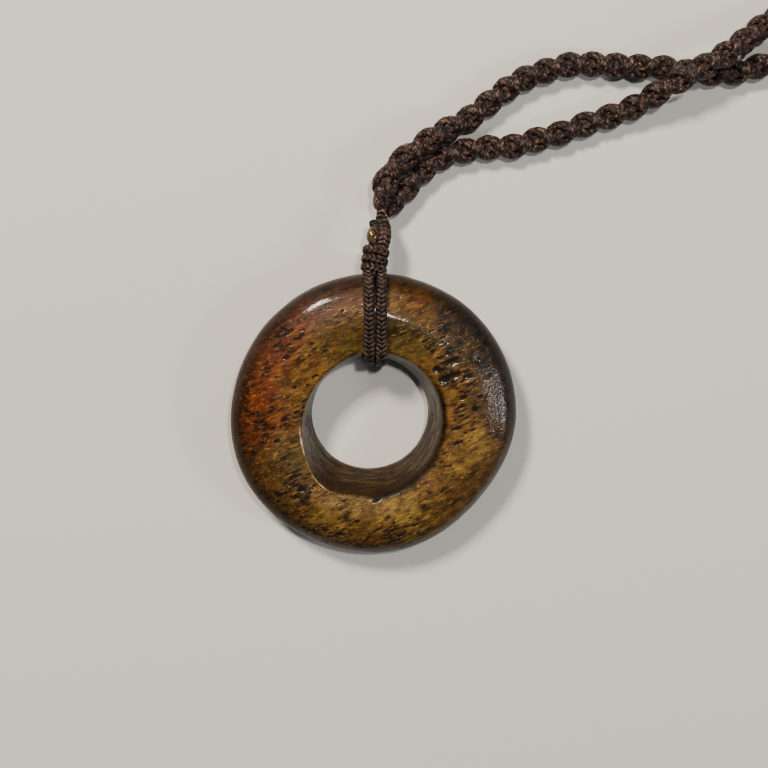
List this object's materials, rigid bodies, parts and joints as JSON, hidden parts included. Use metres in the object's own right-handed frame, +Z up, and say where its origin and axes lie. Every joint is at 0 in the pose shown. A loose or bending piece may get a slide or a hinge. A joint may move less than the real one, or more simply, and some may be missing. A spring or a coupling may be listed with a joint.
{
  "type": "bone ring toggle pendant",
  "caption": "Thick polished bone ring with a tapering hole, hung by a doubled cord and a bound knot from a plaited cord worn round the neck.",
  "frame": {"origin": "on the surface that the pendant lies on, under the middle of the bone ring", "axes": "+Z up out of the surface and, within the few degrees that the ring leans, along its hole towards its front; +Y from the ring towards its bound knot; +X to the right of the ring as its front is seen"},
  "size_m": [0.1562, 0.0988, 0.0126],
  "materials": {
    "stained_bone": null,
    "braided_cord": "dark brown braided nylon with a soft sheen"
  },
  "bodies": {
    "root": {"bone_ring": "stained_bone", "bail_strand_left": "braided_cord", "bail_strand_right": "braided_cord", "binding_knot": "braided_cord", "neck_cord_first_plait": "braided_cord", "neck_cord_second_plait": "braided_cord", "neck_cord_coil": "braided_cord"}
  },
  "joints": []
}
